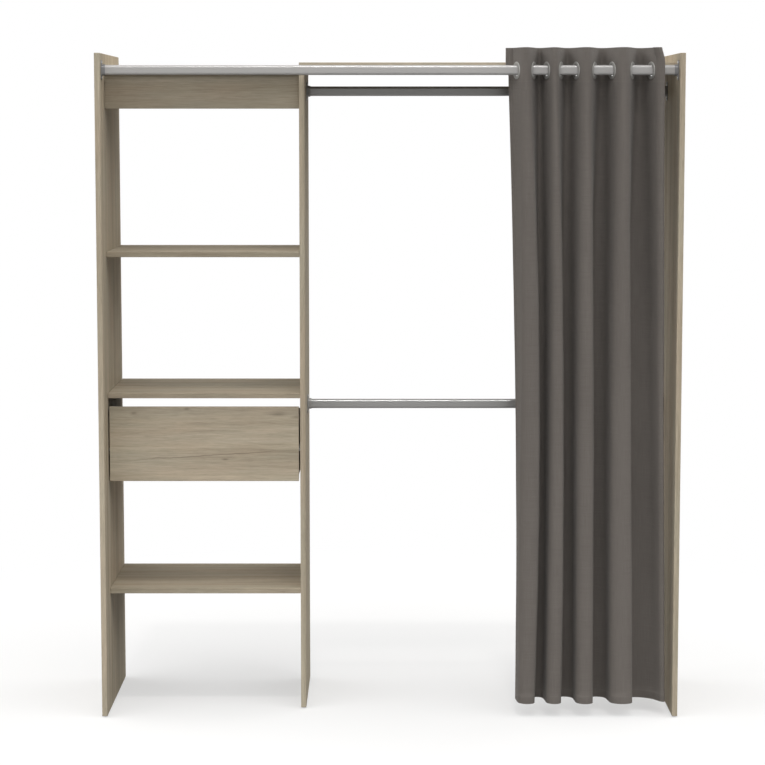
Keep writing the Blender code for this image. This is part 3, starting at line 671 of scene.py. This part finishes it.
def side_edge(start, heading, turn, straight):
    """The cloth's line past its last flat stretch: a bend by turn degrees, then a straight end."""
    points, here, angle = [], Vector(start), heading
    step = math.radians(turn) / EDGE_STEPS
    for _ in range(EDGE_STEPS):
        angle += step / 2
        here = here + abs(EDGE_BEND * step) * Vector((math.cos(angle), math.sin(angle)))
        angle += step / 2
        points.append(here)
    for share in (0.5, 1.0):
        points.append(here + straight * share * Vector((math.cos(angle), math.sin(angle))))
    return points


def bend(start, out_way, stop, in_way, reach):
    """Points of a smooth bend between two flat stretches; a narrow bend reaches out less far."""
    pull = reach * min((stop - start).length / NARROW_BEND, 1.0)
    one, two = start + out_way * pull, stop - in_way * pull
    return [start * (1 - t) ** 3 + one * 3 * t * (1 - t) ** 2 + two * 3 * t * t * (1 - t) + stop * t ** 3
            for t in (i / BEND_STEPS for i in range(1, BEND_STEPS))]


def fold_plan(places, reach, leading, trailing):
    """The cloth's line as points (x, y from the rail), and each crossing's number among them.

    The reach is how far the bends pull out, and the leading and the trailing edge are each given
    as (turn in degrees, straight end in metres).
    """
    ends, ways = [], []
    for number, (x, angle, half) in enumerate(places):
        side = -1 if number % 2 == 0 else 1
        way = Vector((math.cos(math.radians(angle)), side * math.sin(math.radians(angle))))
        ways.append(way)
        ends.append((Vector((x, 0)) - way * half, Vector((x, 0)) + way * half))
    points = side_edge(ends[0][0], math.pi - math.radians(places[0][1]), *leading)[::-1]
    marks = []
    for number, (start, stop) in enumerate(ends):
        marks.append(len(points) + FLAT_STEPS // 2)
        points += [start.lerp(stop, i / FLAT_STEPS) for i in range(FLAT_STEPS + 1)]
        if number < len(ends) - 1:
            points += bend(stop, ways[number], ends[number + 1][0], ways[number + 1], reach)
    turn, straight = trailing
    return points + side_edge(points[-1], math.radians(places[-1][1]), -turn, straight), marks


heading_plan, marks = fold_plan(HEADING, reach=0.040, leading=(60, 0.005), trailing=(-10, 0.004))
middle_plan, _ = fold_plan(HALF_WAY, reach=0.034, leading=(20, 0.006), trailing=(-10, 0.004))
hem_plan, _ = fold_plan(AT_THE_HEM, reach=0.036, leading=(-30, 0.006), trailing=(10, 0.004))
print("plan with", len(heading_plan), "points, crossings at", marks)

# %% Hang the whole cloth as rows of points
rail_low, rail_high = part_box("curtain_rail")
RAIL_Y = (rail_low[1] + rail_high[1]) / 2
RAIL_HEIGHT = (rail_low[2] + rail_high[2]) / 2
CURTAIN_TOP = RAIL_HEIGHT + 0.067
FLAT_LOW = RAIL_HEIGHT - 0.034  # down to here the eyelets hold the cloth flat
HEM = 0.0439
HEM_DEPTH = 0.026
SIDE_HEM = 0.019
HEADING_BAND = 0.101
HEADING_ROWS, HEADING_STEP = 12, 0.0085
ROW_STEP = 0.015
FOLD_OVER = 0.002  # height in which the cloth thickens to the turned-up hem
HEM_ROWS = (0.018, 0.010, 0.003, 0.0)


def row_heights():
    """Heights of the rows: close together at the heading and the hem, 15 mm apart between."""
    heights = [CURTAIN_TOP - i * HEADING_STEP for i in range(HEADING_ROWS)]
    low = HEM + HEM_DEPTH + FOLD_OVER / 2
    count = round((heights[-1] - low) / ROW_STEP)
    heights += [heights[-1] + (low - heights[-1]) * i / count for i in range(1, count + 1)]
    return heights + [low - FOLD_OVER] + [HEM + up for up in HEM_ROWS]


def hung(top, middle, low, share):
    """A point on the smooth line down a fold, through its place on the three plans."""
    upper = 2 * share * share - 3 * share + 1
    lower = 2 * share * share - share
    return upper * top + (1 - upper - lower) * middle + lower * low


def lengths(plan):
    """Length of cloth from the left side edge to each point of a plan."""
    total = [0.0]
    for one, two in zip(plan, plan[1:]):
        total.append(total[-1] + (two - one).length)
    return total


across = [sum(three) / 3 for three in zip(lengths(heading_plan), lengths(middle_plan), lengths(hem_plan))]
CLOTH_WIDTH = across[-1]
for name, plan in (("heading", heading_plan), ("half-way", middle_plan), ("hem", hem_plan)):
    print("cloth at the", name, round(lengths(plan)[-1], 3), "m, depth from",
          round(min(p.y for p in plan), 4), "to", round(max(p.y for p in plan), 4))


def eased(value, low, high):
    """A smooth step from 0 at low to 1 at high."""
    share = min(max((value - low) / (high - low), 0.0), 1.0)
    return share * share * (3 - 2 * share)


LEFT_FLARE, RIGHT_TIP = 0.009, 0.011
LEAN_ZONE = 0.022  # above and below the rail's middle
TIP_PAST_TOP = 0.012


def heading_lean(number, height):
    """How far the heading's two ends lean: the left edge flares out, the right one tips inwards."""
    if number < marks[0] - FLAT_STEPS // 2:
        return -LEFT_FLARE * eased(height, RAIL_HEIGHT - LEAN_ZONE, RAIL_HEIGHT + LEAN_ZONE)
    if number > marks[-2] + FLAT_STEPS // 2:
        return -RIGHT_TIP * eased(height, RAIL_HEIGHT + LEAN_ZONE, CURTAIN_TOP + TIP_PAST_TOP)
    return 0.0


FREE_FROM = 0.30  # metres below the flat part, where the cloth ripples fully
SLOW_RIPPLE, QUICK_RIPPLE = 0.0022, 0.0007


def ripple(along, height):
    """Slow unevenness of the hanging cloth, in metres; none where the eyelets hold it flat."""
    free = 1 - eased(height, FLAT_LOW - FREE_FROM, FLAT_LOW)
    slow = hand_noise.noise(Vector((along * 9.0, height * 1.7, 4.0)))
    quick = hand_noise.noise(Vector((along * 26.0, height * 6.0, 9.0)))
    return free * (SLOW_RIPPLE * slow + QUICK_RIPPLE * quick)


rows = []
for height in row_heights():
    share = max((FLAT_LOW - height) / (FLAT_LOW - HEM), 0.0)
    line = [hung(*three, share) for three in zip(heading_plan, middle_plan, hem_plan)]
    points = []
    for i, here in enumerate(line):
        along = line[min(i + 1, len(line) - 1)] - line[max(i - 1, 0)]
        outward = Vector((along.y, -along.x)).normalized()
        moved = here + outward * ripple(across[i], height) + Vector((heading_lean(i, height), 0.0))
        points.append((Vector((moved.x, RAIL_Y + moved.y, height)), Vector((outward.x, outward.y, 0.0))))
    rows.append((height, points))
print(len(rows), "rows, cloth", round(CLOTH_WIDTH, 3), "m wide and", round(CURTAIN_TOP - HEM, 4), "m long")

# %% [markdown]
# ## Curtain cloth
#
# The cloth is a dull taupe plain weave, a little heavier than a bed sheet. Close up one sees its
# threads, some thicker than others, and the stitched hems. All of that follows the flat cloth, so
# it reads the UV map, which holds metres: u runs across the cloth and v is the height. Two sine
# waves crossed give the weave, noise drawn out along each thread gives the thick and thin ones,
# and stitches are short dashes along the hem lines. A little sheen lightens the folds' edges.

# %% Cloth recipe
THREAD = 0.0007
CLOTH_LIGHT = (0.199, 0.1795, 0.1625)
CLOTH_DARK = (0.155, 0.139, 0.126)
STITCH_PITCH = 0.0032
STITCH_SHARE = 0.72  # of the pitch; the rest is the gap to the next stitch
STITCH_INNER, STITCH_OUTER = 0.0003, 0.0007  # half widths of the sewing thread and its soft edge
SEAM_IN = 0.002  # from a hem's edge to its stitches


def dashes(tree, place, line, along):
    """Stitches along a line, where place is measured across it and along runs with it."""
    away = maths(tree, "ABSOLUTE", maths(tree, "SUBTRACT", place, line))
    near = stepped(tree, away, STITCH_OUTER, STITCH_INNER)
    beat = maths(tree, "FRACT", maths(tree, "DIVIDE", along, STITCH_PITCH))
    return maths(tree, "MULTIPLY", near, maths(tree, "LESS_THAN", beat, STITCH_SHARE))


def woven(name, width, hem_line, side_line, band_line):
    """Plain weave with stitched hems; lines are measured in metres of flat cloth."""
    finish, tree, shader = new_finish(name, roughness=0.88)
    shader.inputs["Specular IOR Level"].default_value = 0.15
    shader.inputs["Sheen Weight"].default_value = 0.12
    shader.inputs["Sheen Roughness"].default_value = 0.45
    flat = add(tree, "ShaderNodeUVMap", uv_map="cloth")
    split = add(tree, "ShaderNodeSeparateXYZ", {0: flat.outputs["UV"]})
    u, v = split.outputs["X"], split.outputs["Y"]

    warp = maths(tree, "SINE", maths(tree, "MULTIPLY", u, 2 * math.pi / THREAD))
    weft = maths(tree, "SINE", maths(tree, "MULTIPLY", v, 2 * math.pi / THREAD))
    weave = maths(tree, "MULTIPLY", warp, weft)
    place = add(tree, "ShaderNodeCombineXYZ", {0: u, 1: v}).outputs[0]
    thick_warp = noise(tree, stretched(tree, place, (900.0, 14.0, 1.0)), detail=1.0)
    thick_weft = noise(tree, stretched(tree, place, (14.0, 900.0, 1.0)), detail=1.0)
    slubs = maths(tree, "ADD", thick_warp, thick_weft)
    patches = noise(tree, stretched(tree, place, (7.0, 2.5, 1.0)), detail=3.0, roughness=0.55)

    tone = maths(tree, "ADD", maths(tree, "MULTIPLY_ADD", slubs, 0.55, -0.30),
                 maths(tree, "MULTIPLY", patches, 0.5))
    colour = ramp(tree, tone, (0.25, CLOTH_DARK), (0.75, CLOTH_LIGHT))
    stitches = dashes(tree, v, hem_line, u)
    for seam in (dashes(tree, u, side_line, v), dashes(tree, u, width - side_line, v),
                 dashes(tree, v, band_line, u)):
        stitches = maths(tree, "MAXIMUM", stitches, seam)
    shade = dimmed(tree, maths(tree, "MULTIPLY_ADD", weave, 0.06, 1.0), stitches, 0.22)
    tint(tree, shader, colour, shade)

    relief = maths(tree, "ADD", maths(tree, "MULTIPLY", weave, 0.5), maths(tree, "MULTIPLY", slubs, 0.8))
    relief = maths(tree, "SUBTRACT", relief, maths(tree, "MULTIPLY", stitches, 1.2))
    emboss(tree, shader, relief, strength=0.5, depth=0.0002)
    return finish


curtain_cloth = woven("curtain_cloth", CLOTH_WIDTH, hem_line=HEM + HEM_DEPTH - SEAM_IN,
                      side_line=SIDE_HEM - SEAM_IN, band_line=CURTAIN_TOP - HEADING_BAND)
print("cloth of", round(1 / THREAD / 1000, 2), "threads to the millimetre")

# %% [markdown]
# The points so far lie in the middle of the cloth. A Solidify modifier would give every part the
# same thickness, but a hem is cloth turned over and twice as thick. So each point is moved half a
# thickness to either side, and faces join the points to a closed shell.

# %% Turn the rows into strips with thickness
CLOTH = 0.0012
HEADING_CLOTH = 0.0015
HEMMED_CLOTH = 0.0024


def thickness(along, height):
    """Thickness of the cloth: more where it is turned over at the hem and the sides."""
    if height < HEM + HEM_DEPTH:
        return HEMMED_CLOTH
    if height > CURTAIN_TOP - HEADING_BAND:
        return HEADING_CLOTH
    if min(along, CLOTH_WIDTH - along) < SIDE_HEM:
        return HEMMED_CLOTH
    return CLOTH


def strip_mesh(name, first, last):
    """A closed shell of the cloth's points first to last, with a UV map in metres of flat cloth."""
    shape = bmesh.new()
    flat = shape.loops.layers.uv.new("cloth")
    places = {}
    lines = []
    for height, points in rows:
        line = []
        for i in range(first, last + 1):
            here, outward = points[i]
            half = thickness(across[i], height) / 2
            pair = [shape.verts.new(here + outward * half * way) for way in (1, -1)]
            for vert in pair:
                places[vert] = (across[i], height)
            line.append(pair)
        lines.append(line)
    for upper, lower in zip(lines, lines[1:]):
        for one, two, three, four in zip(upper, lower, lower[1:], upper[1:]):
            shape.faces.new((one[0], two[0], three[0], four[0]))
            shape.faces.new((four[1], three[1], two[1], one[1]))
        shape.faces.new((upper[0][0], upper[0][1], lower[0][1], lower[0][0]))
        shape.faces.new((lower[-1][0], lower[-1][1], upper[-1][1], upper[-1][0]))
    for line, turned in ((lines[0], False), (lines[-1], True)):
        for left, right in zip(line, line[1:]):
            rim = (left[0], right[0], right[1], left[1])
            shape.faces.new(rim[::-1] if turned else rim)
    for face in shape.faces:
        for loop in face.loops:
            loop[flat].uv = places[loop.vert]
    mesh = bpy.data.meshes.new(name)
    shape.to_mesh(mesh)
    shape.free()
    return mesh


strips = []
for index in range(EYELETS - 1):
    first = 0 if index == 0 else marks[index]
    last = len(across) - 1 if index == EYELETS - 2 else marks[index + 1]
    name = f"curtain_strip_{index + 1}"
    strip = bpy.data.objects.new(name, strip_mesh(name, first, last))
    bpy.context.scene.collection.objects.link(strip)
    strips.append((strip, first, last))
print(len(strips), "strips,", sum(len(s.data.polygons) for s, _, _ in strips), "faces")

# %% [markdown]
# The eyelets go through round holes. Each hole is cut with a Boolean, half of it from the strip on
# either side, along the eyelet's own axis. After that every strip is smoothed by angle, which
# leaves its rims crisp.

# %% Cut the holes for the necks
HOLE_PLAY = 0.0003
PUNCH_LENGTH = 0.012


def cut_with(piece, tool):
    """Subtract the tool from the piece and remove the tool."""
    bpy.context.view_layer.objects.active = piece
    carve = piece.modifiers.new("cut", "BOOLEAN")
    carve.object = tool
    carve.solver = "EXACT"
    bpy.ops.object.modifier_apply(modifier=carve.name)
    bpy.data.objects.remove(tool, do_unlink=True)


def neck_punch(number):
    """A cylinder along the axis of the numbered eyelet, a little wider than its neck."""
    bpy.ops.object.select_all(action="DESELECT")
    bpy.ops.mesh.primitive_cylinder_add(vertices=RING_SIDES, radius=EYELET_NECK + HOLE_PLAY,
                                        depth=PUNCH_LENGTH)
    punch = bpy.context.object
    punch.data.transform(Matrix.Translation((crossings[number], RAIL_Y, eyelet_height))
                         @ Matrix.Rotation(leans[number], 4, "Z") @ Matrix.Rotation(math.pi / 2, 4, "Y"))
    return punch


for index, (strip, _, _) in enumerate(strips):
    before = len(strip.data.polygons)
    for number in (index, index + 1):
        cut_with(strip, neck_punch(number))
    print(strip.name, before, "faces before the holes,", len(strip.data.polygons), "after")

# %% [markdown]
# Each strip is given the cloth, smoothed by angle and has its place baked into its mesh, and the
# imported curtain is hidden.


for index, (strip, first, last) in enumerate(strips):
    strip.data.materials.append(curtain_cloth)
    smooth(strip, 40)
    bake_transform(strip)
    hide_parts("curtain")

# %% [markdown]
# ## Screws and cover caps
#
# Each socket is held by two small pan-head screws with a cross recess, one above the tube and one
# below it. Outside, the shelves' board screws hide under flat stick-on caps in the colour of the
# oak. Both are turned parts: a cylinder whose upper edge is bevelled, and for the screw a recess
# cut by two crossed blades. Each is modelled once and copied, with the place baked into the copy.

# %% Model a screw head and a cover cap
SCREW_RADIUS, SCREW_HEIGHT, SCREW_ROUNDING, SCREW_SIDES = 0.0036, 0.0019, 0.0012, 28
CAP_RADIUS, CAP_HEIGHT, CAP_ROUNDING, CAP_SIDES = 0.0065, 0.0004, 0.00025, 32
BLADE = (0.0042, 0.0008, 0.0022)  # length, width and height; its lower half sinks into the head
screw_steel = metal("screw_steel", (0.42, 0.41, 0.39), 0.35, (600.0, 600.0, 600.0), 0.00003,
                    metallic=0.6)


def turned_disc(name, radius, height, rounding, sides):
    """A low disc standing on the XY plane, with its upper edge rounded over."""
    bpy.ops.object.select_all(action="DESELECT")
    bpy.ops.mesh.primitive_cylinder_add(vertices=sides, radius=radius, depth=height,
                                        location=(0, 0, height / 2))
    disc = bpy.context.object
    disc.name = name
    bpy.ops.object.transform_apply(location=True, rotation=True, scale=True)
    bpy.ops.object.mode_set(mode="EDIT")
    bpy.ops.mesh.select_mode(type="FACE")
    bpy.ops.mesh.select_all(action="DESELECT")
    shape = bmesh.from_edit_mesh(disc.data)
    for face in shape.faces:
        face.select_set(all(vert.co.z > height / 2 for vert in face.verts))
    bmesh.update_edit_mesh(disc.data)
    bpy.ops.mesh.bevel(offset=rounding, segments=4)
    bpy.ops.object.mode_set(mode="OBJECT")
    return disc


screw_pattern = turned_disc("screw_pattern", SCREW_RADIUS, SCREW_HEIGHT, SCREW_ROUNDING, SCREW_SIDES)
for turn in (0.0, math.pi / 2):
    bpy.ops.object.select_all(action="DESELECT")
    bpy.ops.mesh.primitive_cube_add(size=1.0)
    blade = bpy.context.object
    blade.data.transform(Matrix.Rotation(turn, 4, "Z") @ Matrix.Translation((0, 0, SCREW_HEIGHT))
                         @ Matrix.Diagonal((*BLADE, 1.0)))
    cut_with(screw_pattern, blade)
cap_pattern = turned_disc("cap_pattern", CAP_RADIUS, CAP_HEIGHT, CAP_ROUNDING, CAP_SIDES)
for pattern in (screw_pattern, cap_pattern):
    smooth(pattern, 35)
print("screw with", len(screw_pattern.data.polygons), "faces, cap with", len(cap_pattern.data.polygons))

# %% Set the screws on the sockets' plates
PLATE_FACE = 0.0028  # the plate's face, from the panel
SUNK = 0.0003  # the head's lower edge lies in the plate
SCREW_OFFSET = 0.023
TURNS = (0.3, 1.1, -0.5, 0.8, 0.1, 1.3, -0.2, 0.6, 0.9, -0.7, 0.4, 1.0)
screws = 0
for rail in ("curtain_rail", "clothes_bar_upper", "clothes_bar_lower"):
    tube_low, tube_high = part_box(rail)
    for side, way in (("left", 1), ("right", -1)):
        socket_low, socket_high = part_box(f"{rail}_socket_{side}")
        panel = socket_low[0] if way == 1 else socket_high[0]
        for up in (-1, 1):
            where = (panel + way * PLATE_FACE - way * SUNK, (tube_low[1] + tube_high[1]) / 2,
                     (tube_low[2] + tube_high[2]) / 2 + up * SCREW_OFFSET)
            screw = copy_to(screw_pattern, f"screw_{rail}_{side}_{'upper' if up == 1 else 'lower'}",
                            Matrix.Translation(where) @ Matrix.Rotation(way * math.pi / 2, 4, "Y")
                            @ Matrix.Rotation(TURNS[screws], 4, "Z"))
            screw.data.materials.append(screw_steel)
            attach(screw, "frame")
            screws += 1
bpy.data.objects.remove(screw_pattern, do_unlink=True)
print(screws, "screws set")

# %% Stick the caps over the board screws
CAP_INSET = 0.06  # from the shelf's front and back edges
COLUMN_SHELVES = ("column_top_shelf", "shelf_upper", "shelf_middle", "shelf_lower")
SCREWED_PANELS = (("side_panel_left", -1, COLUMN_SHELVES), ("side_panel_right", 1, ("top_board",)))
caps = 0
for panel, way, shelves in SCREWED_PANELS:
    panel_low, panel_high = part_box(panel)
    face = panel_low[0] if way == -1 else panel_high[0]
    for shelf in shelves:
        shelf_low, shelf_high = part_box(shelf)
        for number, along in enumerate((shelf_low[1] + CAP_INSET, shelf_high[1] - CAP_INSET)):
            where = (face, along, (shelf_low[2] + shelf_high[2]) / 2)
            cap = copy_to(cap_pattern, f"cap_{shelf}_{number + 1}",
                          Matrix.Translation(where) @ Matrix.Rotation(way * math.pi / 2, 4, "Y"))
            cap.data.materials.append(cap_oak)
            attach(cap, "frame")
            caps += 1
bpy.data.objects.remove(cap_pattern, do_unlink=True)
print(caps, "caps stuck on")
